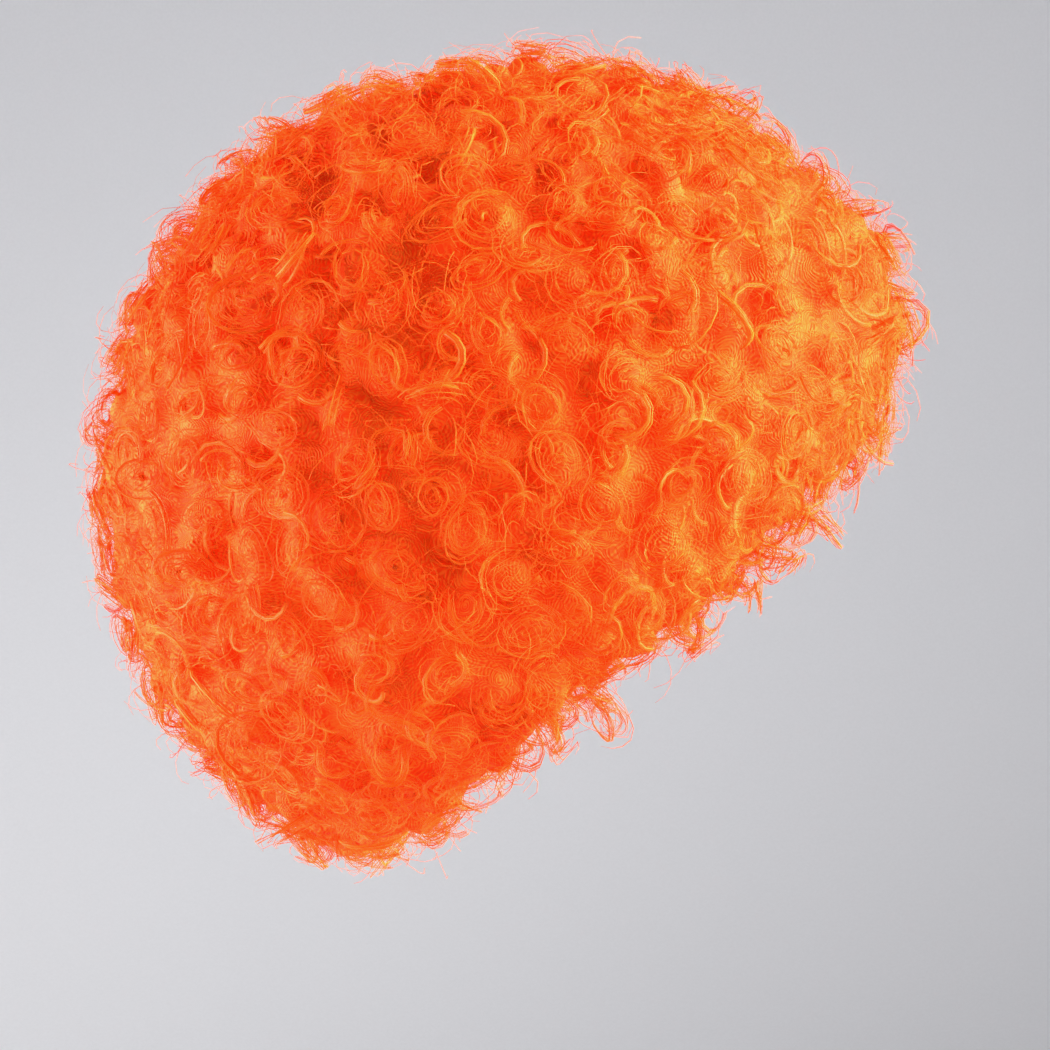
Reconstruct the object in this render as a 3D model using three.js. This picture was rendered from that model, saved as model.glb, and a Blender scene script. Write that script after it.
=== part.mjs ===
// An afro wig: five bands of curled hair sewn round a thin stretch cap.
// Millimetres, +Z up, the face towards -Y and the wearer's left towards +X.
// The origin is the inside of the cap's crown, where the top of the head bears.
import * as THREE from "three";

const { clamp, degToRad, lerp } = THREE.MathUtils;

// The head that the cap fits: an egg, rounder above its widest level than below it.
const head = {
  halfWidth: 77,
  halfLength: 95,
  heightAbove: 95,
  depthBelow: 120,
  centre: new THREE.Vector3(0, 0, -95),
};

const cap = {
  wall: 1.6,
  hemThickness: 2.8,
  hemWidthShare: 0.06, // of the way from the crown to the edge
  columns: 40,
  rows: 8,
};

// The cap's edge: degrees round from the front, and degrees down from the crown.
const capEdge = [
  { around: 0, down: 68 },
  { around: 45, down: 80 },
  { around: 75, down: 103 }, // the tab in front of the ear
  { around: 98, down: 96 }, // the arch over the ear
  { around: 130, down: 114 },
  { around: 180, down: 130 }, // the nape
];

const hair = {
  centre: new THREE.Vector3(0, 22, -81),
  leanBack: 34, // degrees from straight up to the whorl
  lockRows: 11, // rows of locks from the whorl to the edge
  lockColumns: 4, // points round each lock
  lockDepth: 11, // from the tops of the locks to the grooves between them
  liftSpread: 0.5, // how much the locks differ in height, as a share of lockDepth
  wander: 0.22, // how far the grooves wander, as a share of the locks' width
  edgeDown: 124, // degrees from the whorl to the edge, before hairEdge
  lobe: 4, // degrees that an edge lock hangs past the grooves beside it
  tuckUnder: 2, // degrees that the inner edge lies above the outer one
  lobeFullness: 0.6, // how full an edge lock's end is, where 1 is the top of a lock
  locksPerWave: 2.3, // locks along each wave of a groove
  waveShift: 2.4, // radians from one groove's waves to the next one's
  seatGap: 1.6, // from the cap to the corners of the backing, so its flats stay clear
  bandGap: 0.2, // degrees between two bands
};

// The outline: degrees down from the whorl, and the radius to the tops of the locks.
const outline = [
  { down: 0, front: 148, side: 148, back: 148 },
  { down: 30, front: 145, side: 146, back: 149 },
  { down: 60, front: 152, side: 144, back: 152 },
  { down: 80, front: 155, side: 143, back: 153 },
  { down: 95, front: 160, side: 143, back: 157 },
  { down: 108, front: 151, side: 142, back: 158 },
  { down: 118, front: 137, side: 138, back: 160 },
  { down: 132, front: 126, side: 130, back: 152 },
];

// The lower edge of the hair: degrees round from the front, and degrees from the whorl.
const hairEdge = [
  { around: 0, down: 124 },
  { around: 45, down: 126 },
  { around: 75, down: 133 }, // the curls in front of the ear
  { around: 92, down: 131 },
  { around: 112, down: 132 },
  { around: 150, down: 131 },
  { around: 180, down: 128 }, // the nape
];

// The sewn bands of hair, from the whorl to the edge.
const bands = [
  { name: "weft_crown", firstRow: 0, lastRow: 3 },
  { name: "weft_upper", firstRow: 4, lastRow: 5 },
  { name: "weft_middle", firstRow: 6, lastRow: 7 },
  { name: "weft_lower", firstRow: 8, lastRow: 9 },
  { name: "weft_edge", firstRow: 10, lastRow: 10 },
];

const hairColour = new THREE.MeshStandardMaterial({
  color: 0xff5a12,
  roughness: 0.55,
  metalness: 0,
});
const capColour = new THREE.MeshStandardMaterial({
  color: 0xc8480f,
  roughness: 0.85,
  metalness: 0,
});

// A smooth curve through a short table, level at both its ends: the value in a column
// where the key is x.
function readTable(rows, key, column, x) {
  const last = rows.length - 1;
  const found = rows.findIndex((row) => row[key] >= x);
  const upper = clamp(found < 0 ? last : found, 1, last);
  const slope = (i) => {
    if (i === 0 || i === last) return 0;
    const [before, after] = [rows[i - 1], rows[i + 1]];
    return (after[column] - before[column]) / (after[key] - before[key]);
  };
  const [a, b] = [rows[upper - 1], rows[upper]];
  const span = b[key] - a[key];
  const t = clamp((x - a[key]) / span, 0, 1);
  const [startPull, endPull] = [slope(upper - 1) * span, slope(upper) * span];
  return (
    a[column] * (1 + 2 * t) * (1 - t) ** 2 +
    startPull * t * (1 - t) ** 2 +
    b[column] * t * t * (3 - 2 * t) -
    endPull * t * t * (1 - t)
  );
}

// Both sides of the wig are alike, so an angle round it counts from the front either way.
const fromFront = (around) => Math.abs(((around + 540) % 360) - 180);

// The unit vector that is `down` degrees from the pole and `around` degrees from the front.
function direction(down, around) {
  const [polar, turn] = [degToRad(down), degToRad(around)];
  return new THREE.Vector3(
    Math.sin(polar) * Math.sin(turn),
    -Math.sin(polar) * Math.cos(turn),
    Math.cos(polar),
  );
}

// An even spread of numbers from 0 to 1, the same for a lock each time: what is left after
// the point of a long number that the row and the lock set.
const scatter = { perRow: 127.1, perLock: 311.7, stretch: 43758.5453 };

function chance(row, lock) {
  const angle = row * scatter.perRow + lock * scatter.perLock;
  const long = Math.sin(angle) * scatter.stretch;
  return long - Math.floor(long);
}

// The distance from a point inside the head along a ray to the head grown by a margin.
function reachToHead(start, ray, margin) {
  const from = start.clone().sub(head.centre);
  const reach = (height) => {
    const grown = [head.halfWidth, head.halfLength, height].map((size) => size + margin);
    const scale = new THREE.Vector3(...grown);
    const [p, d] = [from.clone().divide(scale), ray.clone().divide(scale)];
    const [a, b, c] = [d.dot(d), p.dot(d), p.dot(p) - 1];
    return (-b + Math.sqrt(b * b - a * c)) / a;
  };
  const above = reach(head.heightAbove);
  return from.z + ray.z * above >= 0 ? above : reach(head.depthBelow);
}

// A ring of points round a form, in order from the front.
function makeRing(spots, pointAt) {
  const sorted = [...spots].sort((a, b) => a.around - b.around);
  return { around: sorted.map((spot) => spot.around), points: sorted.map(pointAt) };
}

// A closed skin over rings that lie one after another. Each end runs to a tip, or, with
// no tips, the last ring runs back to the first.
function makeSkin(rings, startTip, endTip) {
  const points = [];
  const faces = [];
  const placed = rings.map((ring) => {
    const first = points.length;
    points.push(...ring.points);
    return { first, around: ring.around, count: ring.points.length };
  });
  const index = (ring, i) => ring.first + (i % ring.count);
  const angle = (ring, i) => ring.around[i % ring.count] + (i >= ring.count ? 360 : 0);
  const joinRings = (upper, lower) => {
    // Walks round both rings and always steps along the one that lags. The finer ring goes
    // first where they are level, so two bands' facing walls have the same creases.
    const finerUpper = upper.count >= lower.count;
    for (let i = 0, j = 0; i < upper.count || j < lower.count; ) {
      const lead = angle(lower, j + 1) - angle(upper, i + 1);
      const upperLags = i < upper.count && (lead > 0 || (lead === 0 && finerUpper));
      if (j === lower.count || upperLags) {
        faces.push(index(upper, i), index(lower, j), index(upper, i + 1));
        i += 1;
      } else {
        faces.push(index(upper, i), index(lower, j), index(lower, j + 1));
        j += 1;
      }
    }
  };
  placed.slice(1).forEach((ring, i) => joinRings(placed[i], ring));
  const [first, last] = [placed[0], placed[placed.length - 1]];
  if (startTip) {
    points.push(startTip, endTip);
    const [start, end] = [points.length - 2, points.length - 1];
    for (let i = 0; i < first.count; i += 1)
      faces.push(start, index(first, i), index(first, i + 1));
    for (let i = 0; i < last.count; i += 1)
      faces.push(index(last, i), end, index(last, i + 1));
  } else {
    joinRings(last, first);
  }
  const geometry = new THREE.BufferGeometry().setFromPoints(points);
  geometry.setIndex(faces);
  geometry.computeVertexNormals();
  return geometry;
}

// The cap: a thin egg-shaped wall with a thicker hem along its edge.
function makeCap() {
  const spots = Array.from({ length: cap.columns }, (_, i) => ({
    around: (i * 360) / cap.columns,
  }));
  const wallPoint = (around, share, margin) => {
    const down = share * readTable(capEdge, "around", "down", fromFront(around));
    const ray = direction(down, around);
    return ray.multiplyScalar(reachToHead(head.centre, ray, margin));
  };
  const shares = Array.from({ length: cap.rows }, (_, i) => (i + 1) / cap.rows);
  shares.splice(cap.rows - 1, 0, 1 - cap.hemWidthShare);
  const wallRing = (share, margin) =>
    makeRing(spots, (spot) => wallPoint(spot.around, share, margin));
  const outside = shares.map((share) => wallRing(share, cap.wall));
  const inside = shares.map((share) =>
    wallRing(share, share > 1 - cap.hemWidthShare ? cap.wall - cap.hemThickness : 0),
  );
  const crown = (margin) => new THREE.Vector3(0, 0, head.heightAbove + margin);
  const geometry = makeSkin([...outside, ...inside.reverse()], crown(cap.wall), crown(0));
  const mesh = new THREE.Mesh(geometry, capColour);
  mesh.name = "wig_cap";
  mesh.position.copy(head.centre);
  return mesh;
}

const lockPitch = hair.edgeDown / (hair.lockRows - 0.5);
const edgeRow = hair.lockRows - 1;
const leanBack = new THREE.Euler(-degToRad(hair.leanBack), 0, 0);

function locksInRow(row) {
  const girth = 360 * Math.sin(degToRad(row * lockPitch));
  return Math.max(3, Math.round(girth / lockPitch));
}

// The points round a row of locks: where each is, its lock, and its place across that lock.
function rowSpots(row) {
  const locks = locksInRow(row);
  const groove = (lock) => {
    const shift = hair.wander * (chance(row, lock % locks) - 0.5);
    return ((lock + 0.5 * (row % 2) + shift) * 360) / locks;
  };
  return Array.from({ length: locks * hair.lockColumns }, (_, i) => {
    const lock = Math.floor(i / hair.lockColumns);
    const across = (i % hair.lockColumns) / hair.lockColumns;
    const around = lerp(groove(lock), groove(lock + 1), across);
    return { around: (around + 360) % 360, lock, across };
  });
}

// The groove below a row takes the points of the row beside it that has more of them.
function grooveSpots(row) {
  const [above, below] = [rowSpots(row), row < edgeRow ? rowSpots(row + 1) : []];
  return below.length > above.length ? below : above;
}

// How far down the groove below a row runs, in degrees from the whorl.
function grooveDown(row, around) {
  const edge = readTable(hairEdge, "around", "down", fromFront(around));
  const waves = Math.round(locksInRow(row) / hair.locksPerWave);
  const turn = degToRad(around * waves) + row * hair.waveShift;
  const wave = row < edgeRow ? Math.sin(turn) : 0;
  const even = (row + 0.5) * lockPitch + hair.wander * lockPitch * wave;
  return (even * edge) / hair.edgeDown;
}

// The radius to the tops of the locks, from the three outlines.
function outlineRadius(down, around) {
  const facing = Math.cos(degToRad(around));
  const end = readTable(outline, "down", facing > 0 ? "front" : "back", down);
  return lerp(readTable(outline, "down", "side", down), end, facing * facing);
}

// A point of the hair's surface. Fullness is 0 in a groove and 1 on the top of a lock.
function hairPoint(down, around, fullness, row, lock) {
  const spread = 1 + hair.liftSpread * (chance(row + 0.5, lock) - 0.5);
  const lift = hair.lockDepth * spread * fullness;
  const radius = outlineRadius(down, around) - hair.lockDepth + lift;
  return direction(down, around).multiplyScalar(radius);
}

// A point of the backing, just clear of the cap and the head below it.
function backingPoint(down, around) {
  const ray = direction(down, around);
  const reach = reachToHead(
    hair.centre,
    ray.clone().applyEuler(leanBack),
    cap.wall + hair.seatGap,
  );
  return ray.multiplyScalar(reach);
}

// The round section of a lock, from 1 in the middle to 0 at a groove.
const dome = (offMiddle) => Math.sqrt(Math.max(0, 1 - offMiddle * offMiddle));

// The three rings over a row's locks, between the grooves above and below it.
function lockRings(row) {
  const steps = row === 0 ? [0.75] : [0.25, 0.5, 0.75];
  return steps.map((step) =>
    makeRing(rowSpots(row), ({ around, lock, across }) => {
      const top = row === 0 ? -grooveDown(0, around) : grooveDown(row - 1, around);
      const down = lerp(top, grooveDown(row, around), step);
      const crosswise = row === 0 ? 1 : dome(2 * across - 1);
      return hairPoint(down, around, crosswise * dome(2 * step - 1), row, row && lock);
    }),
  );
}

const grooveRing = (row, shift) =>
  makeRing(grooveSpots(row), ({ around }) =>
    hairPoint(grooveDown(row, around) + shift, around, 0, row, 0),
  );

// The lowest ring, where each lock of the edge ends in a round lobe.
const edgeRing = () =>
  makeRing(rowSpots(edgeRow), ({ around, lock, across }) => {
    const round = dome(2 * across - 1);
    const down = grooveDown(edgeRow, around) + hair.lobe * (round - 0.5);
    return hairPoint(down, around, hair.lobeFullness * round, edgeRow, lock);
  });

const backingRing = (row, shift) =>
  makeRing(
    grooveSpots(row).filter((_, i) => i % 2 === 0),
    ({ around }) => backingPoint(grooveDown(row, around) + shift, around),
  );

// A band of hair: its locks outside, and inside it the backing that is sewn to the cap.
function makeBand({ name, firstRow, lastRow }) {
  const isEdge = lastRow === edgeRow;
  const halfGap = hair.bandGap / 2;
  const lowShift = isEdge ? -hair.tuckUnder : -halfGap;
  const outside = firstRow > 0 ? [grooveRing(firstRow - 1, halfGap)] : [];
  const inside = firstRow > 0 ? [backingRing(firstRow - 1, halfGap)] : [];
  for (let row = firstRow; row <= lastRow; row += 1) {
    const isLast = row === lastRow;
    const below = isLast && isEdge ? edgeRing() : grooveRing(row, isLast ? -halfGap : 0);
    outside.push(...lockRings(row), below);
    inside.push(backingRing(row, isLast ? lowShift : 0));
  }
  const whorl = firstRow === 0 ? hairPoint(0, 0, 1, 0, 0) : null;
  const seat = firstRow === 0 ? backingPoint(0, 0) : null;
  const rings = [...outside, ...inside.reverse()];
  const mesh = new THREE.Mesh(makeSkin(rings, whorl, seat), hairColour);
  mesh.name = name;
  return mesh;
}

const wefts = new THREE.Group();
wefts.position.copy(hair.centre);
wefts.setRotationFromEuler(leanBack);
wefts.add(...bands.map(makeBand));

const wig = new THREE.Group();
wig.add(makeCap(), wefts);

export default wig;
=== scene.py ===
import math

import bpy
import numpy as np
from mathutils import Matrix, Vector
from mathutils.bvhtree import BVHTree
from mathutils.kdtree import KDTree


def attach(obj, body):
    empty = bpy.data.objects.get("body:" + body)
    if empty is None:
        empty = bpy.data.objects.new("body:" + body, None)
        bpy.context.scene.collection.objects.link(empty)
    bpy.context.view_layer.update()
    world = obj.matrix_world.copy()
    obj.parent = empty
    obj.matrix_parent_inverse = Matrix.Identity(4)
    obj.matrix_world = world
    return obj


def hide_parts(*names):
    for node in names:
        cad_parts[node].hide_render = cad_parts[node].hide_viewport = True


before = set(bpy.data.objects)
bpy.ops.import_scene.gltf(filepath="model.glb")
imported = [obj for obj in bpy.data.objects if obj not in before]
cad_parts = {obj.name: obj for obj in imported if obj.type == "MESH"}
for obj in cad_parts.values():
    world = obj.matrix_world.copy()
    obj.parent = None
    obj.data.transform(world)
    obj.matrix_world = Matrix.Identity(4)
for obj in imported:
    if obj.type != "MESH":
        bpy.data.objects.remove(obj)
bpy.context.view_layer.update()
mm = 0.001

# the hair's own pole leans back from straight up, and its rows run round that pole
hairForm = {
    "centre": np.array((0, 22, -81)) * mm,
    "leanBack": math.radians(34),
    "bands": ("weft_crown", "weft_upper", "weft_middle", "weft_lower", "weft_edge"),
}
hairCentre = hairForm["centre"]
whorl = np.array((0, math.sin(hairForm["leanBack"]), math.cos(hairForm["leanBack"])))


# shader sockets and nodes

class Wire:
    # a socket that can stand in a sum: each operator adds a Math node
    def __init__(self, tree, socket):
        self.tree = tree
        self.socket = socket

    def sum(self, operation, first, second):
        made = self.tree.nodes.new("ShaderNodeMath")
        made.operation = operation
        for slot, value in zip(made.inputs, (first, second)):
            feed(self.tree, slot, value)
        return Wire(self.tree, made.outputs[0])

    def __add__(self, other):
        return self.sum("ADD", self, other)

    def __radd__(self, other):
        return self.sum("ADD", other, self)

    def __sub__(self, other):
        return self.sum("SUBTRACT", self, other)

    def __rsub__(self, other):
        return self.sum("SUBTRACT", other, self)

    def __mul__(self, other):
        return self.sum("MULTIPLY", self, other)

    def __rmul__(self, other):
        return self.sum("MULTIPLY", other, self)


def feed(tree, slot, value):
    if isinstance(value, Wire):
        tree.links.new(value.socket, slot)
    else:
        slot.default_value = value


class Finish:
    # a material with one Principled shader, built node by node
    def __init__(self, name, **constants):
        self.material = bpy.data.materials.new(name)
        self.material.use_nodes = True
        self.tree = self.material.node_tree
        self.shader = self.tree.nodes["Principled BSDF"]
        for socket, value in constants.items():
            self.shader.inputs[socket.replace("_", " ")].default_value = value

    def node(self, kind, settings, inputs, output=0):
        made = self.tree.nodes.new("ShaderNode" + kind)
        for name, value in settings.items():
            if name == "stops":
                self.setStops(made.color_ramp, value)
            else:
                setattr(made, name, value)
        for name, value in inputs.items():
            feed(self.tree, made.inputs[name], value)
        return Wire(self.tree, made.outputs[output])

    def setStops(self, ramp, stops):
        while len(ramp.elements) < len(stops):
            ramp.elements.new(0.5)
        for element, (place, colour) in zip(ramp.elements, stops):
            element.position = place
            element.color = (*colour, 1)

    def wear(self, **sockets):
        for socket, value in sockets.items():
            feed(self.tree, self.shader.inputs[socket.replace("_", " ")], value)
        return self.material


# camera, at the height of the photo's middle and square to the wearer's right side

shot = {
    "photoSide": 1050,             # pixels
    "pixel": 0.36 * mm,            # what one of them spans at the wig
    "crownPixel": (571, 235),      # the origin in the photo
    "distance": 1.7,
    "sensor": 36,
    "farClip": 50,
}


def setCamera():
    middle = shot["photoSide"] / 2
    aimY = (shot["crownPixel"][0] - middle) * shot["pixel"]
    aimZ = (shot["crownPixel"][1] - middle) * shot["pixel"]
    bpy.ops.object.camera_add(
        location=(-shot["distance"], aimY, aimZ),
        rotation=(math.radians(90), 0, math.radians(-90)),
    )
    camera = bpy.context.object
    camera.data.sensor_width = shot["sensor"]
    seen = shot["photoSide"] * shot["pixel"]
    camera.data.lens = shot["sensor"] * shot["distance"] / seen
    camera.data.clip_end = shot["farClip"]
    bpy.context.scene.camera = camera
    print("camera set")


# floor: a wide pale dish whose far edge sweeps up out of sight

dish = {
    "level": -0.95,
    "flatRadius": 2.6,
    "sweepRadius": 1.6,
    "sweepSteps": 24,
    "corners": 128,
    "grey": (0.86, 0.86, 0.89),
    "roughness": 0.9,
    "grain": 300.0,               # per metre
    "grainDetail": 2.0,
    "grainRange": (0.3, 0.7),     # of the noise, from the darkest grain to the palest
    "grainShades": (0.985, 1.015),
}


def paperFinish():
    paper = Finish("paleFloor", Roughness=dish["roughness"])
    where = paper.node("TexCoord", {}, {}, "Object")
    grain = paper.node(
        "TexNoise",
        {},
        {"Vector": where, "Scale": dish["grain"], "Detail": dish["grainDetail"]},
    )
    shades = [[share * value for value in dish["grey"]] for share in dish["grainShades"]]
    tint = paper.node(
        "ValToRGB",
        {"stops": tuple(zip(dish["grainRange"], shades))},
        {"Fac": grain},
    )
    return paper.wear(Base_Color=tint)


def makeFloor():
    bpy.ops.object.select_all(action="DESELECT")
    bpy.ops.mesh.primitive_circle_add(
        vertices=dish["corners"],
        radius=dish["flatRadius"],
        fill_type="NGON",
        location=(0, 0, dish["level"]),
    )
    floor = bpy.context.object
    floor.name = "floor"
    bpy.ops.object.mode_set(mode="EDIT")
    bpy.ops.mesh.select_mode(type="EDGE")
    bpy.ops.mesh.select_all(action="SELECT")
    bpy.ops.mesh.region_to_loop()
    radius = dish["flatRadius"]
    height = 0
    for step in range(1, dish["sweepSteps"] + 1):
        turn = math.radians(90) * step / dish["sweepSteps"]
        nextRadius = dish["flatRadius"] + dish["sweepRadius"] * math.sin(turn)
        nextHeight = dish["sweepRadius"] * (1 - math.cos(turn))
        bpy.ops.mesh.extrude_edges_move(
            TRANSFORM_OT_translate={"value": (0, 0, nextHeight - height)}
        )
        grow = nextRadius / radius
        bpy.ops.transform.resize(
            value=(grow, grow, 1), center_override=(0, 0, dish["level"] + nextHeight)
        )
        radius, height = nextRadius, nextHeight
    bpy.ops.object.mode_set(mode="OBJECT")
    bpy.ops.object.shade_smooth()
    floor.data.materials.append(paperFinish())
    print("floor laid")


# light: broad lamps before the wig and behind it, one for the far wall, a faint one beside
# the camera that fills the hollows, and a soft grey room

lamps = {
    "front": {"at": (-0.2, -1.8, 0.45), "aim": hairCentre, "size": 2.2, "power": 66},
    "behind": {"at": (0.15, 1.6, -0.3), "aim": hairCentre, "size": 1.2, "power": 15.5},
    "wall": {"at": (0.9, 2.0, -0.3), "aim": (3.6, 0.4, -0.5), "size": 1.0, "power": 11},
    "fill": {"at": (-2.2, 0.15, 0.1), "aim": hairCentre, "size": 1.2, "power": 1.5},
    "spread": math.radians(64),
    "room": (0.80, 0.80, 0.82),
    "roomStrength": 0.23,
}
picture = {
    "shoulder": 0.6,              # the brightness from which highlights are eased
    "white": 0.93,                # and what full brightness becomes
    "seeThrough": 12,             # wisps that a ray may pass, since they lie many deep
    "bounces": 9,
    "diffuseBounces": 8,
    "glossyBounces": 1,
    "prefilter": "NONE",          # keeps the single hairs
}


def setLight():
    for name in ("front", "behind", "wall", "fill"):
        lamp = lamps[name]
        bpy.ops.object.light_add(type="AREA", location=lamp["at"])
        light = bpy.context.object
        light.name = name + "Lamp"
        light.data.shape = "DISK"
        light.data.size = lamp["size"]
        light.data.energy = lamp["power"]
        light.data.spread = lamps["spread"]
        light.visible_camera = False
        aim = Vector(lamp["aim"]) - Vector(lamp["at"])
        light.rotation_euler = aim.to_track_quat("-Z", "Y").to_euler()
    world = bpy.context.scene.world or bpy.data.worlds.new("room")
    bpy.context.scene.world = world
    world.use_nodes = True
    room = world.node_tree.nodes["Background"]
    room.inputs["Color"].default_value = (*lamps["room"], 1)
    room.inputs["Strength"].default_value = lamps["roomStrength"]
    print("lamps set")


def setPicture():
    view = bpy.context.scene.view_settings
    view.view_transform = "Standard"
    view.use_curve_mapping = True
    allColours = view.curve_mapping.curves[3]   # the others are red, green and blue
    allColours.points.new(picture["shoulder"], picture["shoulder"])
    allColours.points[-1].location = (1.0, picture["white"])
    view.curve_mapping.extend = "HORIZONTAL"
    view.curve_mapping.update()
    cycles = bpy.context.scene.cycles
    cycles.transparent_max_bounces = picture["seeThrough"]
    cycles.max_bounces = picture["bounces"]
    cycles.diffuse_bounces = picture["diffuseBounces"]
    cycles.glossy_bounces = picture["glossyBounces"]
    cycles.denoising_prefilter = picture["prefilter"]
    print("picture set")


# hair colours, and the map that every wisp reads them through

hairTint = {
    # the darkest undercoat colour is painted shade of the hollows between curls and of the hair's
    # depth
    "paintedPitShade": (0.985, 0.054, 0.003),
    "deep": (0.985, 0.120, 0.008),
    "middle": (0.985, 0.133, 0.009),
    "light": (0.99, 0.147, 0.010),
    "toneStops": (0.1, 0.5, 0.9),     # where deep, middle and light lie on the map
    "toneStart": 0.12,                # where the wisps' tones start on it: random in part, and in part painted shade by how deep a strand lies
    "toneSpan": 0.76,                 # and how much of it they take up
    "lineLow": (1.0, 0.82, 0.70),
    "lineHigh": (1.0, 1.0, 1.0),
    "lineRange": (0.38, 0.66),        # of the noise, from the low lines to the high ones
    "gaps": (0.43, 0.50),             # of the noise, from clear to solid, in a curled lock
    "specular": 0.09,
    "roughness": 0.65,
    "shine": 0.2,                     # what the high lines take off that
    "mapName": "OFBake",              # u runs over the fibre lines, deep to light
    "ridgeRows": (0.97, 0.03, 0.09),  # and v from edge to ridge, for a wisp's three corners
    "lines": 260.0,
    "lineShare": 0.010,               # of the lines, for each millimetre of a wisp's half width
    "lineDrift": 0.8,                 # of that share, from a wisp's one end to the other
    "leastDrift": 0.4,                # of the full drift
    "edgeCut": 0.2,                   # how much sparser the lines are at a wisp's edges
}


def fibreFinish(name, gapFrom=None, gapTo=None):
    # each wisp carries a few of the lines, which may have gaps between them
    fibre = Finish(name, Specular_IOR_Level=hairTint["specular"])
    place = fibre.node("UVMap", {"uv_map": hairTint["mapName"]}, {})
    across = fibre.node("SeparateXYZ", {}, {"Vector": place}, "X")
    ridge = fibre.node("SeparateXYZ", {}, {"Vector": place}, "Y")
    line = fibre.node(
        "TexNoise",
        {"noise_dimensions": "1D"},
        {"W": across, "Scale": hairTint["lines"], "Detail": 0.0},
    )
    tones = (hairTint["deep"], hairTint["middle"], hairTint["light"])
    tone = fibre.node(
        "ValToRGB",
        {"stops": tuple(zip(hairTint["toneStops"], tones))},
        {"Fac": across},
    )
    shades = (hairTint["lineLow"], hairTint["lineHigh"])
    shade = fibre.node(
        "ValToRGB",
        {"stops": tuple(zip(hairTint["lineRange"], shades))},
        {"Fac": line},
    )
    colour = fibre.node(
        "Mix",
        {"data_type": "RGBA", "blend_type": "MULTIPLY"},
        {0: 1.0, 6: tone, 7: shade},
        2,
    )
    fibre.wear(Base_Color=colour, Roughness=hairTint["roughness"] - hairTint["shine"] * line)
    if gapFrom:
        edge = 1 - ridge
        kept = line - hairTint["edgeCut"] * edge * edge
        solid = fibre.node(
            "MapRange",
            {"interpolation_type": "SMOOTHSTEP"},
            {"Value": kept, "From Min": gapFrom, "From Max": gapTo},
        )
        fibre.wear(Alpha=solid)
    return fibre.material


# undercoat: the dense body of the hair, a little under the curls that lie on it

tangledFibres = {
    "bendScale": 90.0,            # scales are per metre
    "bend": 5 * mm,
    "waverScale": 240.0,
    "waver": 9.0,                 # radians of a fibre wave's phase
    "patchScale": 130.0,
    "arcs": (
        {"perMetre": 62.0, "pitch": 1.2 * mm, "clump": 0.6},
        {"perMetre": 115.0, "pitch": 0.9 * mm, "clump": 0.2},
    ),
    "arcShare": 0.46,             # of the tone, for the arcs
    "clumpEdge": 0.45,            # how far a clump reaches from its centre
    "clumpRise": 5,               # how much higher it stands than its tone alone would give
    "toneFloor": 0.3,
    "fineScale": 900.0,
    "fineShare": 0.4,
    "toneRange": (0.28, 0.72),    # from the painted shade of the hollows to deep
    "relief": 0.6 * mm,
    "reliefStrength": 0.6,
    "specular": 0.1,
    "roughness": 0.8,
    "shine": 0.15,
}


def undercoatFinish():
    # seen between the curls: arcs of fibre round scattered centres, bent at random; its colours run
    # darker than the curls', and each clump is lighter in its middle and darker at its edge, both
    # painted shade of the hair's depth and of the hollows between clumps
    look = tangledFibres
    coat = Finish("tangledUndercoat", Specular_IOR_Level=look["specular"])
    where = coat.node("TexCoord", {}, {}, "Object")

    def noise(scale, detail=0.0, output=0):
        return coat.node("TexNoise", {}, {"Vector": where, "Scale": scale, "Detail": detail}, output)

    bent = coat.node(
        "VectorMath",
        {"operation": "MULTIPLY_ADD"},
        {0: noise(look["bendScale"], output="Color"), 1: [look["bend"]] * 3, 2: where},
    )
    waver = noise(look["waverScale"])
    patchy = noise(look["patchScale"])
    fibresAndPaintedShade, swell = look["toneFloor"], 0.0
    for arc in look["arcs"]:
        gone = coat.node("TexVoronoi", {}, {"Vector": bent, "Scale": arc["perMetre"]}, "Distance")
        turns = math.tau / (arc["pitch"] * arc["perMetre"])
        phase = gone * turns + waver * look["waver"]
        wave = coat.node("Math", {"operation": "SINE"}, {0: phase})
        inside = look["clumpEdge"] - gone
        # the clump term is painted shade: each clump's tone rises towards its middle and falls
        # towards the hollows between clumps
        fibresAndPaintedShade = wave * patchy * look["arcShare"] + fibresAndPaintedShade + inside * arc["clump"]
        swell = inside * (look["clumpRise"] * arc["clump"]) + swell
    fibresAndPaintedShade = fibresAndPaintedShade + noise(look["fineScale"], 1.0) * look["fineShare"]
    # from painted shade of the hollows up to deep
    tones = (hairTint["paintedPitShade"], hairTint["deep"])
    colour = coat.node(
        "ValToRGB",
        {"stops": tuple(zip(look["toneRange"], tones))},
        {"Fac": fibresAndPaintedShade},
    )
    relief = coat.node(
        "Bump",
        {},
        {"Height": fibresAndPaintedShade + swell, "Strength": look["reliefStrength"], "Distance": look["relief"]},
    )
    roughness = look["roughness"] - look["shine"] * fibresAndPaintedShade
    return coat.wear(Base_Color=colour, Roughness=roughness, Normal=relief)


undercoat = {
    "voxel": 5 * mm,              # closes the seams between the bands
    "sink": 0.994,                # share of the radius that is left
    "softening": 20,              # rounds of smoothing, which fill the grooves in part
    "lumps": 4.5 * mm,
    "lumpSize": 10 * mm,
    "lumpLevel": 0.75,            # of the lumps' height, what lies under the smooth surface
}


def copyNode(node, name):
    piece = bpy.data.objects.new(name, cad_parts[node].data.copy())
    bpy.context.collection.objects.link(piece)
    piece.data.materials.clear()
    piece.select_set(True)
    bpy.context.view_layer.objects.active = piece
    return piece


mergeWithin = 0.01 * mm   # corners that lie nearer than this are one


def mergeCorners():
    bpy.ops.object.mode_set(mode="EDIT")
    bpy.ops.mesh.select_mode(type="FACE")
    bpy.ops.mesh.select_all(action="SELECT")
    bpy.ops.mesh.remove_doubles(threshold=mergeWithin)
    bpy.ops.mesh.select_all(action="DESELECT")
    bpy.ops.object.mode_set(mode="OBJECT")


def applyAll(piece):
    for modifier in list(piece.modifiers):
        bpy.ops.object.modifier_apply(modifier=modifier.name)


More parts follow.
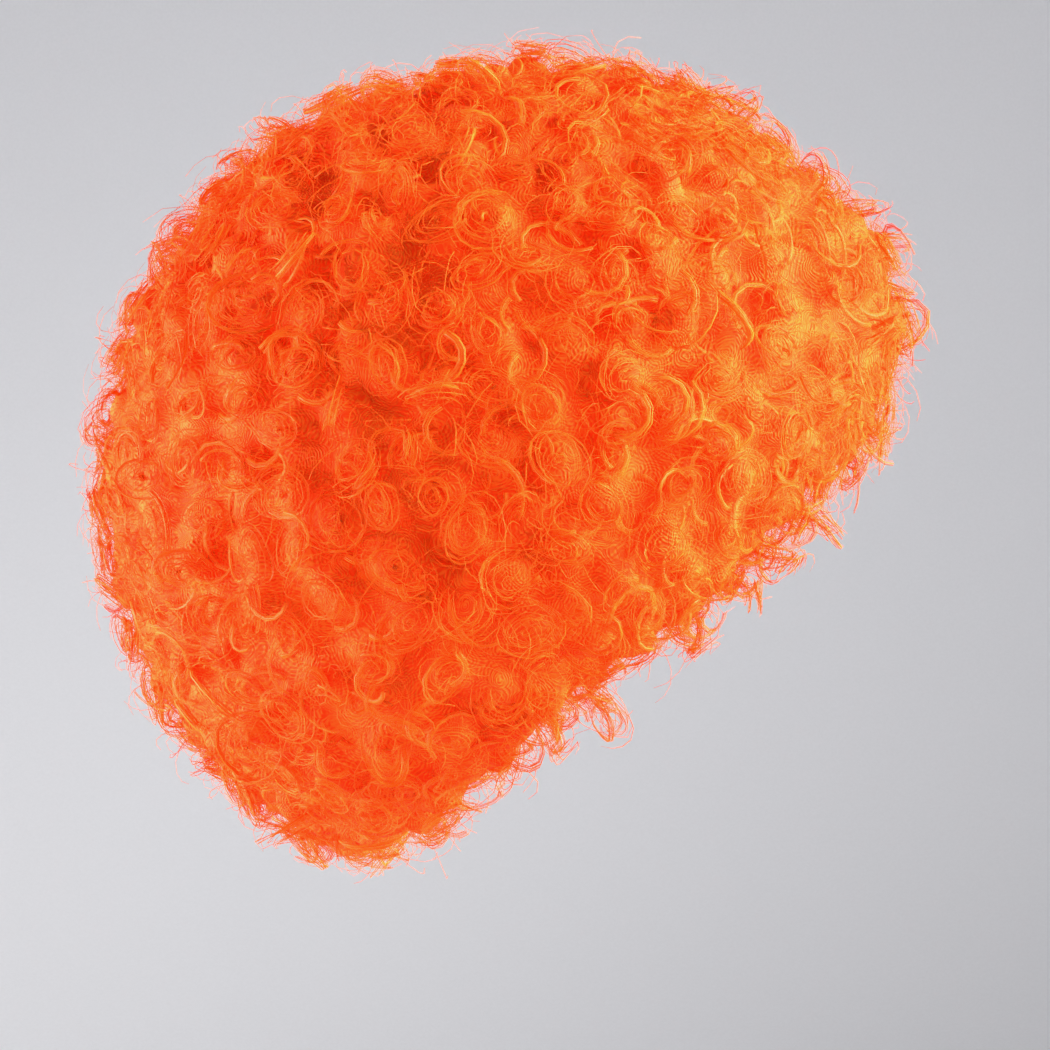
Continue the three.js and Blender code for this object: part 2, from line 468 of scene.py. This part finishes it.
def makeUndercoat():
    bpy.ops.object.select_all(action="DESELECT")
    for band in hairForm["bands"]:
        piece = copyNode(band, "undercoat")
    bpy.ops.object.join()
    piece.name = "undercoat"
    mergeCorners()
    whole = piece.modifiers.new("whole", "REMESH")
    whole.mode = "VOXEL"
    whole.voxel_size = undercoat["voxel"]
    soft = piece.modifiers.new("soft", "SMOOTH")
    soft.iterations = undercoat["softening"]
    applyAll(piece)
    for face in piece.data.polygons:
        face.select = face.normal.dot(face.center - Vector(hairCentre)) > 0
    bpy.ops.object.mode_set(mode="EDIT")
    bpy.ops.transform.resize(value=[undercoat["sink"]] * 3, center_override=tuple(hairCentre))
    bpy.ops.object.mode_set(mode="OBJECT")
    tangle = bpy.data.textures.new("tangle", "CLOUDS")
    tangle.noise_scale = undercoat["lumpSize"]
    rough = piece.modifiers.new("rough", "DISPLACE")
    rough.texture = tangle
    rough.texture_coords = "LOCAL"
    rough.strength = undercoat["lumps"]
    rough.mid_level = undercoat["lumpLevel"]
    applyAll(piece)
    bpy.ops.object.shade_smooth()
    piece.data.materials.append(undercoatFinish())
    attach(piece, "root")
    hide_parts(*hairForm["bands"])
    print("undercoat", len(piece.data.polygons), "faces")
    return piece


# roots: points of the undercoat where the curls and the strands grow, each with its normal
# and its band

roots = {
    "start": 300 * mm,            # from the hair's centre to where the rays start
    "leastRadius": 100 * mm,      # from that centre to a root on the outer side
    "outerSlope": 0.12,           # least cosine between the normal there and the ray
    "underRing": (80, 140),       # millimetres from the pole to a ray at the underside
    "underSlope": 0.25,
    "underCap": 50 * mm,          # from the centre down to where the rays inside start
    "innerSlope": 0.1,
    "curlRays": {"outside": 20000, "under": 3000, "inside": 3000},
    "looseCurlRays": 4000,
    "strandShares": {"under": 12, "inside": 6},   # one ray to so many on the outer side
}


def faceTree(meshes):
    points, faces = [], []
    for mesh in meshes:
        first = len(points)
        points += [vertex.co.copy() for vertex in mesh.vertices]
        faces += [[first + i for i in face.vertices] for face in mesh.polygons]
    return BVHTree.FromPolygons(points, faces)


def hairSurface(coat):
    # the cap is in it too, so that a ray can't reach the hair behind it
    solids = [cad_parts[band].data for band in hairForm["bands"]]
    ofSolid = []
    for band, mesh in zip(hairForm["bands"], solids):
        ofSolid += [band] * len(mesh.polygons)
    nearest = faceTree(solids)
    owners = [ofSolid[nearest.find_nearest(face.center)[2]] for face in coat.polygons]
    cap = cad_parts["wig_cap"].data
    owners += ["wig_cap"] * len(cap.polygons)
    return faceTree((coat, cap)), owners


def unit(vectors):
    return vectors / np.maximum(np.linalg.norm(vectors, axis=-1, keepdims=True), 1e-9)


def castOutside(rng, surface, owners, count):
    # rays from all round towards the hair's centre, where they meet the outer side
    found = []
    for way in unit(rng.normal(size=(count, 3))):
        start = Vector(hairCentre + way * roots["start"])
        spot, normal, face, gone = surface.ray_cast(start, -Vector(way))
        if not spot or roots["start"] - gone <= roots["leastRadius"]:
            continue
        if np.dot(normal, way) > roots["outerSlope"]:
            found.append((spot, normal, owners[face]))
    return found


def castUnder(rng, surface, owners, count):
    # rays up along the pole, where they meet the underside of the edge
    across = unit(np.cross(whorl, (1, 0, 0)))
    along = np.cross(across, whorl)
    found = []
    turns = rng.uniform(0, math.tau, count)
    for turn, radius in zip(turns, rng.uniform(*roots["underRing"], count)):
        ring = (math.cos(turn) * across + math.sin(turn) * along) * radius * mm
        start = hairCentre + ring - whorl * roots["start"]
        spot, normal, face, gone = surface.ray_cast(Vector(start), Vector(whorl))
        if not spot or owners[face] != "weft_edge":
            continue
        if np.dot(normal, whorl) < -roots["underSlope"]:
            found.append((spot, normal, owners[face]))
    return found


def castInside(rng, surface, owners, count):
    # rays out from under the cap, where they meet the inner side of the hair past its hem
    start = Vector(hairCentre - whorl * roots["underCap"])
    found = []
    for way in unit(rng.normal(size=(count, 3))):
        spot, normal, face, gone = surface.ray_cast(start, Vector(way))
        if not spot or owners[face] == "wig_cap":
            continue
        if np.dot(normal, way) < -roots["innerSlope"]:
            found.append((spot, normal, owners[face]))
    return found


def standOff(spots, normals, share):
    # normals that lean away from the hair's middle, but for those on its inner side
    outward = unit(spots - hairCentre)
    outer = np.sum(normals * outward, axis=1, keepdims=True) > 0
    return unit(normals + share * outer * outward)


def spread(found, spacing):
    # keeps points that lie at least the spacing from those kept before
    kept = np.empty((0, 3))
    chosen = []
    for spot, normal, band in found:
        here = np.array(spot)
        if len(kept) == 0 or np.min(np.sum((kept - here) ** 2, axis=1)) > spacing ** 2:
            kept = np.vstack((kept, here))
            chosen.append((spot, normal, band))
    return chosen


# puffs: the undercoat swells under each curl and falls away between them

puffs = {
    "swell": 1.5 * mm,
    "groove": 3.6 * mm,
    "flatTop": 4 * mm,            # from a curl's middle to where the fall starts
    "foot": 12 * mm,              # and to where it ends
    "outerFrom": 0.3,             # the inner side keeps its shape
}


def ease(low, high, x):
    t = np.clip((x - low) / (high - low), 0, 1)
    return t * t * (3 - 2 * t)


def puffUp(coat, places):
    # the curls' places rise with it
    nearest = KDTree(len(places))
    for index, place in enumerate(places):
        nearest.insert(place[0], index)
    nearest.balance()
    points = np.array([vertex.co for vertex in coat.vertices])
    normals = np.array([vertex.normal for vertex in coat.vertices])
    gone = np.array([nearest.find(point)[2] for point in points])
    outer = ease(0, puffs["outerFrom"], np.sum(normals * unit(points - hairCentre), axis=1))
    fall = (puffs["swell"] + puffs["groove"]) * ease(puffs["flatTop"], puffs["foot"], gone)
    points += normals * ((puffs["swell"] - fall) * outer)[:, None]
    coat.vertices.foreach_set("co", points.astype(np.float32).ravel())
    coat.update()
    return [(spot + normal * puffs["swell"], normal, band) for spot, normal, band in places]


# wisps: closed three-sided tubes, flat or round, whose ridge faces away from the curl

def wispMesh(name, rng, points, outward, halfWidth, halfThick, tones, finish):
    count, steps = points.shape[:2]
    along = unit(np.gradient(points, axis=1))
    side = unit(np.cross(along, outward))
    lift = np.cross(side, along)
    wide = side * halfWidth[..., None]
    thick = lift * halfThick[..., None]
    corners = (points + thick, points - wide - thick, points + wide - thick)
    vertices = np.stack(corners, axis=2).reshape(-1, 3)

    base = (np.arange(count)[:, None] * steps + np.arange(steps - 1)) * 3
    corner = np.arange(3)
    after = (corner + 1) % 3
    low = base[..., None]
    quads = np.stack((low + corner, low + 3 + corner, low + 3 + after, low + after), axis=-1)
    first = np.arange(count)[:, None] * steps * 3
    last = first + (steps - 1) * 3
    caps = np.stack((first + (0, 1, 2), last + (0, 2, 1)), axis=1)
    loops = np.concatenate((quads.reshape(-1), caps.reshape(-1)))
    starts = np.concatenate((
        np.arange(0, quads.size, 4),
        quads.size + np.arange(0, caps.size, 3),
    ))

    # the map: u runs across a wisp, over its own share of the fibre lines
    share = hairTint["lineShare"] * halfWidth.max(axis=1) / mm
    drift = share * hairTint["lineDrift"] * rng.choice((-1, 1), count)
    drift = drift * rng.uniform(hairTint["leastDrift"], 1, count)
    middle = (hairTint["toneStart"] + hairTint["toneSpan"] * tones)[:, None]
    middle = middle + drift[:, None] * np.linspace(-0.5, 0.5, steps)
    share = share[:, None]
    u = np.stack((middle, middle - share, middle + share), axis=-1)
    v = np.broadcast_to(hairTint["ridgeRows"], u.shape)
    places = np.stack((u, v), axis=-1).reshape(-1, 2)[loops]

    mesh = bpy.data.meshes.new(name)
    mesh.vertices.add(len(vertices))
    mesh.vertices.foreach_set("co", vertices.astype(np.float32).ravel())
    mesh.loops.add(len(loops))
    mesh.loops.foreach_set("vertex_index", loops.astype(np.int32))
    mesh.polygons.add(len(starts))
    mesh.polygons.foreach_set("loop_start", starts.astype(np.int32))
    mesh.polygons.foreach_set("use_smooth", np.ones(len(starts), dtype=bool))
    mesh.update(calc_edges=True)
    layer = mesh.uv_layers.new(name=hairTint["mapName"])
    layer.data.foreach_set("uv", np.clip(places, 0, 1).astype(np.float32).ravel())
    mesh.materials.append(finish)
    piece = bpy.data.objects.new(name, mesh)
    bpy.context.collection.objects.link(piece)
    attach(piece, "root")
    print(name, "wisps", count, "triangles", quads.size // 2 + 2 * count)
    return piece


def crossFrame(rng, normals, lean):
    # three axes for each curl: its own axis leans at random from the surface's normal
    stray = unit(rng.normal(size=normals.shape))
    stray -= normals * np.sum(stray * normals, axis=1, keepdims=True)
    axis = unit(normals + unit(stray) * np.tan(lean)[:, None])
    first = unit(np.cross(axis, rng.normal(size=normals.shape)))
    return first, np.cross(axis, first), axis


# ringlets: locks and single hairs wound into rings that lie over and under each other

ringlets = {
    "name": "ringlet",
    "seed": 11,
    "spacing": 16 * mm,
    "radius": (7.0 * mm, 11.0 * mm),     # of a ring's outer turns
    "inner": 0.35,                       # share of that for its inmost turns
    "thickness": (1.8 * mm, 3.2 * mm),   # of the ring, as a radius
    "squeeze": (0.64, 1.0),              # of a ring's one width to the other
    "sinkIn": (-4.5 * mm, 0.8 * mm),
    "lean": math.radians(32),
    "standOff": 1.2,                     # how strongly it leans away from the hair's middle
    "rootDepth": 4 * mm,
    "tone": 0.62,
}
looseCurls = {
    **ringlets,
    "name": "loosecurl",
    "seed": 71,
    "places": ((815, 528), (778, 560), (742, 588), (690, 640), (612, 722), (560, 735)),
    "radius": (6.0 * mm, 9.0 * mm),
    "reach": 14 * mm,                    # how far one may hang from its root
    "aside": 40 * mm,                    # least distance of a root from the wig's middle plane
    "sinkIn": (0, 0),
    "lean": math.radians(50),
    "rootDepth": 9 * mm,
    "tone": 0.6,
}
locks = {
    "name": "locks",
    "seed": 3,
    "wisps": 2,
    "points": 14,
    "turns": (0.5, 1.2),
    "halfWidth": (1.0 * mm, 1.7 * mm),
    "flatness": 0.35,                    # half thickness, as a share of the half width
}
hairs = {
    "name": "hairs",
    "seed": 5,
    "wisps": 13,
    "points": 11,
    "turns": (0.45, 1.15),
    "halfWidth": (0.09 * mm, 0.16 * mm),
    "flatness": 0.7,
}
winding = {
    "mostLean": math.radians(75),
    "curlTones": 0.12,                   # spread of tones from curl to curl
    "wispTones": 0.16,                   # and from wisp to wisp
    "reachSpread": 0.09,
    "section": (-0.25, 1.05),            # half turns round a ring's section, first wisp to last
    "sectionSpread": 0.09,
    "sectionTwist": 0.5,                 # radians, from a wisp's one end to the other
    "spiral": 0.16,                      # of the radius, from end to end
    "looseEnd": 2.0 * mm,                # how far a wisp's end stands off its ring
    "looseFrom": 0.72,                   # where along the wisp that starts
    "looseRise": 0.6,
    "thickness": (0.75, 1.12),           # of the ring's, from wisp to wisp
    "wobble": 0.7 * mm,
    "wobbleRate": 2.3,                   # waves for each turn
    "rootEnd": 0.22,                     # where along a wisp its root has risen
    "stemEnd": 0.45,                     # and where a loose curl's stem ends
    "tipWidth": 0.35,
    "fullFrom": 0.15,                    # where along a wisp its full width starts
    "fullTo": 0.8,
}


def makeCurls(form, kind, band, found, finish, stems=None):
    curlRng = np.random.default_rng(form["seed"] + hairForm["bands"].index(band))
    mine = [(spot, normal) for spot, normal, owner in found if owner == band]
    spots = np.array([spot for spot, normal in mine])
    normals = np.array([normal for spot, normal in mine])
    normals = standOff(spots, normals, form["standOff"])
    curls = len(spots)

    # what a curl's locks and hairs have in common
    lean = np.abs(curlRng.normal(0, form["lean"], curls)).clip(0, winding["mostLean"])
    first, second, axis = crossFrame(curlRng, normals, lean)
    radius = curlRng.uniform(*form["radius"], curls)[:, None, None]
    thick = curlRng.uniform(*form["thickness"], curls)[:, None, None]
    squeeze = curlRng.uniform(*form["squeeze"], curls)[:, None, None]
    centre = spots - normals * curlRng.uniform(*form["sinkIn"], curls)[:, None]
    hand = curlRng.choice((-1, 1), curls)[:, None]
    tone = form["tone"] + curlRng.normal(0, winding["curlTones"], curls)

    # where each wisp lies on the ring's round section, and how far it winds
    rng = np.random.default_rng(form["seed"] * kind["seed"])
    shape = (curls, kind["wisps"])
    s = np.linspace(0, 1, kind["points"])
    shares = np.linspace(form["inner"], 1.0, kind["wisps"])
    reach = rng.permuted(np.tile(shares, (curls, 1)), axis=1)
    reach = (reach + rng.normal(0, winding["reachSpread"], shape))[..., None]
    section = np.linspace(*winding["section"], kind["wisps"])
    section = section + rng.normal(0, winding["sectionSpread"], shape)
    twist = rng.normal(0, winding["sectionTwist"], shape)[..., None] * (s - 0.5)
    section = (section * math.pi)[..., None] + twist
    begin = rng.uniform(0, math.tau, shape)
    turns = rng.uniform(*kind["turns"], shape)
    angle = (begin * hand)[..., None] + (turns * hand * math.tau)[..., None] * s
    spiral = rng.normal(0, winding["spiral"], shape)[..., None] * (s - 0.5)
    loose = np.abs(rng.normal(0, winding["looseEnd"], shape))[..., None]
    loose = loose * ease(winding["looseFrom"], 1, s)
    wispThick = thick * rng.uniform(*winding["thickness"], shape)[..., None]
    phase = rng.uniform(0, math.tau, shape)[..., None]
    wobble = winding["wobble"] * np.sin(angle * winding["wobbleRate"] + phase)

    ringRadius = radius * (reach + spiral) + wispThick * np.cos(section) + loose + wobble
    height = wispThick * np.sin(section) + winding["looseRise"] * loose
    height = height - form["rootDepth"] * (1 - ease(0, winding["rootEnd"], s))
    first, second, axis = (a[:, None, None, :] for a in (first, second, axis))
    away = np.cos(angle)[..., None] * first + (np.sin(angle) * squeeze)[..., None] * second
    points = centre[:, None, None, :] + ringRadius[..., None] * away + height[..., None] * axis
    outward = np.cos(section)[..., None] * away + np.sin(section)[..., None] * axis
    if stems is not None:
        points = points + stems[:, None, None, :] * (1 - ease(0, winding["stemEnd"], s))[:, None]

    full = np.minimum(ease(0, winding["fullFrom"], s), 1 - ease(winding["fullTo"], 1, s))
    taper = winding["tipWidth"] + (1 - winding["tipWidth"]) * full
    halfWidth = rng.uniform(*kind["halfWidth"], shape).reshape(-1, 1) * taper
    tones = tone[:, None] + rng.normal(0, winding["wispTones"], shape)
    piece = wispMesh(
        band + "_" + form["name"] + "_" + kind["name"],
        rng,
        points.reshape(-1, kind["points"], 3),
        outward.reshape(-1, kind["points"], 3),
        halfWidth,
        kind["flatness"] * halfWidth,
        tones.reshape(-1).clip(0, 1),
        finish,
    )
    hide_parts(band)
    return piece


# strands: swirls that lie over the undercoat between the ringlets, and single hairs that stand out

swirls = {
    "name": "swirls",
    "seed": 43,
    "count": 1400,
    "radius": (6.0 * mm, 12.0 * mm),
    "sweep": (1.5, 3.6),                # radians that a strand turns through
    "roll": (math.radians(90), math.radians(24)),   # 0 stands up, 90 degrees lies flat
    "highest": 6 * mm,
    "rootDepth": (-3.0 * mm, 1.0 * mm),
    "points": 7,
    "halfWidth": (1.3 * mm, 2.4 * mm),
    "flatness": 0.25,                   # half thickness, as a share of the half width
    "drift": 2 * mm,
    "standOff": 1.5,
    "taper": 0.4,                       # what its width loses from root to tip
    "ridgeTilt": 0.02,                  # keeps the ridge off the strand's own line
    # the swirls lie low and take darker tones than the frizz that stands out: tone that differs at
    # random, and in part painted shade of the hair's depth
    "tone": (0.1, 0.7),
}
frizz = {
    **swirls,
    "name": "frizz",
    "seed": 29,
    "count": 9800,
    "radius": (3.0 * mm, 9.0 * mm),
    "sweep": (1.6, 4.4),
    "roll": (0, math.radians(43)),
    "highest": 17 * mm,
    "rootDepth": (0.5 * mm, 0.5 * mm),
    "halfWidth": (0.09 * mm, 0.16 * mm),
    "flatness": 0.6,
    "drift": 7 * mm,
    # lighter tones for the frizz that stands out: random tone, and in part painted light on the top
    # of the hair
    "tone": (0.35, 1.0),
}


def makeStrands(kind, band, found, finish):
    rng = np.random.default_rng(kind["seed"] + hairForm["bands"].index(band))
    mine = [(spot, normal) for spot, normal, owner in found if owner == band]
    spots = np.array([spot for spot, normal in mine])
    normals = np.array([normal for spot, normal in mine])
    normals = standOff(spots, normals, kind["standOff"])
    count = len(spots)
    ahead = unit(np.cross(normals, rng.normal(size=normals.shape)))
    beside = np.cross(normals, ahead)
    s = np.linspace(0, 1, kind["points"])
    radius = rng.uniform(*kind["radius"], count)[:, None]
    sweep = rng.uniform(*kind["sweep"], count)[:, None] * s
    roll = rng.normal(*kind["roll"], count)[:, None]
    depth = rng.uniform(*kind["rootDepth"], count)[:, None]
    rise = radius * (1 - np.cos(sweep)) * np.cos(roll)
    top = kind["highest"] + depth
    rise = top * np.tanh(rise / top) - depth
    sideways = radius * (1 - np.cos(sweep)) * np.sin(roll)
    sideways = sideways + rng.normal(0, kind["drift"], count)[:, None] * s
    points = spots[:, None, :] + rise[..., None] * normals[:, None, :]
    points = points + (radius * np.sin(sweep))[..., None] * ahead[:, None, :]
    points = points + sideways[..., None] * beside[:, None, :]
    outward = np.broadcast_to((normals + kind["ridgeTilt"] * beside)[:, None, :], points.shape)
    halfWidth = rng.uniform(*kind["halfWidth"], count)[:, None] * (1 - kind["taper"] * s)
    tones = rng.uniform(*kind["tone"], count)
    return wispMesh(
        band + "_" + kind["name"],
        rng,
        points,
        outward,
        halfWidth,
        kind["flatness"] * halfWidth,
        tones,
        finish,
    )


# cap: stretch net with a turned hem

capNet = {
    "cells": 420.0,               # per metre
    "threadRange": (0.05, 0.2),   # from a thread's edge to the open cell
    "rowPitch": math.radians(9),  # from row to row of stitching, round the hair's middle
    "rowNarrow": 0.6,             # nearer to 1 for narrower rows
    "open": (0.28, 0.03, 0.004),
    "thread": (0.72, 0.12, 0.015),
    "relief": 0.3 * mm,
    "reliefStrength": 0.6,
    "specular": 0.2,
    "roughness": 0.9,
    "shine": 0.15,
    "smoothTo": math.radians(50),
}


def netFinish():
    # open net between rows of stitching, which run round the hair's pole
    net = Finish("stretchNet", Specular_IOR_Level=capNet["specular"])
    where = net.node("TexCoord", {}, {}, "Object")
    cells = net.node(
        "TexVoronoi",
        {"feature": "DISTANCE_TO_EDGE"},
        {"Vector": where, "Scale": capNet["cells"]},
    )
    mesh = net.node(
        "ValToRGB",
        {"stops": tuple(zip(capNet["threadRange"], ((1, 1, 1), (0, 0, 0))))},
        {"Fac": cells},
    )
    strings = net.node("RGBToBW", {}, {"Color": mesh})
    middle = net.node("VectorMath", {"operation": "SUBTRACT"}, {0: where, 1: list(hairCentre)})
    away = net.node("VectorMath", {"operation": "NORMALIZE"}, {0: middle})
    lift = net.node("VectorMath", {"operation": "DOT_PRODUCT"}, {0: away, 1: list(whorl)}, "Value")
    down = net.node("Math", {"operation": "ARCCOSINE"}, {0: lift})
    rows = down * (math.tau / capNet["rowPitch"])
    wave = net.node("Math", {"operation": "SINE"}, {0: rows})
    row = net.node(
        "MapRange",
        {"interpolation_type": "SMOOTHSTEP"},
        {"Value": wave, "From Min": capNet["rowNarrow"], "From Max": 1.0},
    )
    thread = net.node("Math", {"operation": "MAXIMUM"}, {0: strings, 1: row})
    colour = net.node(
        "ValToRGB",
        {"stops": ((0.0, capNet["open"]), (1.0, capNet["thread"]))},
        {"Fac": thread},
    )
    relief = net.node(
        "Bump",
        {},
        {"Height": thread, "Strength": capNet["reliefStrength"], "Distance": capNet["relief"]},
    )
    roughness = capNet["roughness"] - capNet["shine"] * thread
    return net.wear(Base_Color=colour, Roughness=roughness, Normal=relief)


def makeCap():
    bpy.ops.object.select_all(action="DESELECT")
    piece = copyNode("wig_cap", "stretch_cap")
    mergeCorners()
    bpy.ops.object.shade_smooth_by_angle(angle=capNet["smoothTo"])
    piece.data.materials.append(netFinish())
    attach(piece, "root")
    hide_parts("wig_cap")
    print("cap made")


def hangCurls(found):
    # each loose curl hangs from the nearest root of the edge, on both sides of the wig
    hung, stems = [], []
    crownRight, crownDown = shot["crownPixel"]
    for right, down in looseCurls["places"]:
        seen = np.array((crownRight - right, crownDown - down)) * shot["pixel"]
        for side in (-1, 1):
            near = [place for place in found if place[0].x * side > looseCurls["aside"]]
            gaps = [np.hypot(*(np.array(place[0])[1:] - seen)) for place in near]
            root, normal, band = near[int(np.argmin(gaps))]
            fall = seen - np.array(root)[1:]
            fall *= min(1, looseCurls["reach"] / max(np.hypot(*fall), mm))
            hung.append((root + Vector((0, *fall)), normal, band))
            stems.append((0, *-fall))
    print("loose curls", len(hung))
    return hung, np.array(stems)


def makeHair():
    coat = makeUndercoat()
    curledFibre = fibreFinish("curledFibre", *hairTint["gaps"])
    looseFibre = fibreFinish("looseFibre")
    surface, owners = hairSurface(coat.data)
    rng = np.random.default_rng(ringlets["seed"])
    rays = roots["curlRays"]
    found = castOutside(rng, surface, owners, rays["outside"])
    found += castUnder(rng, surface, owners, rays["under"])
    found += castInside(rng, surface, owners, rays["inside"])
    places = puffUp(coat.data, spread(found, ringlets["spacing"]))
    surface, owners = hairSurface(coat.data)
    print("curls", len(places))
    rng = np.random.default_rng(looseCurls["seed"])
    hung, stems = hangCurls(castUnder(rng, surface, owners, roots["looseCurlRays"]))
    for kind, fibre in ((locks, curledFibre), (hairs, looseFibre)):
        for band in hairForm["bands"]:
            makeCurls(ringlets, kind, band, places, fibre)
        makeCurls(looseCurls, kind, "weft_edge", hung, fibre, stems)
    for kind, fibre in ((swirls, curledFibre), (frizz, looseFibre)):
        rng = np.random.default_rng(kind["seed"])
        shares = roots["strandShares"]
        found = castOutside(rng, surface, owners, kind["count"])
        found += castUnder(rng, surface, owners, kind["count"] // shares["under"])
        found += castInside(rng, surface, owners, kind["count"] // shares["inside"])
        for band in hairForm["bands"]:
            makeStrands(kind, band, found, fibre)


setCamera()
makeFloor()
setLight()
setPicture()
makeCap()
makeHair()
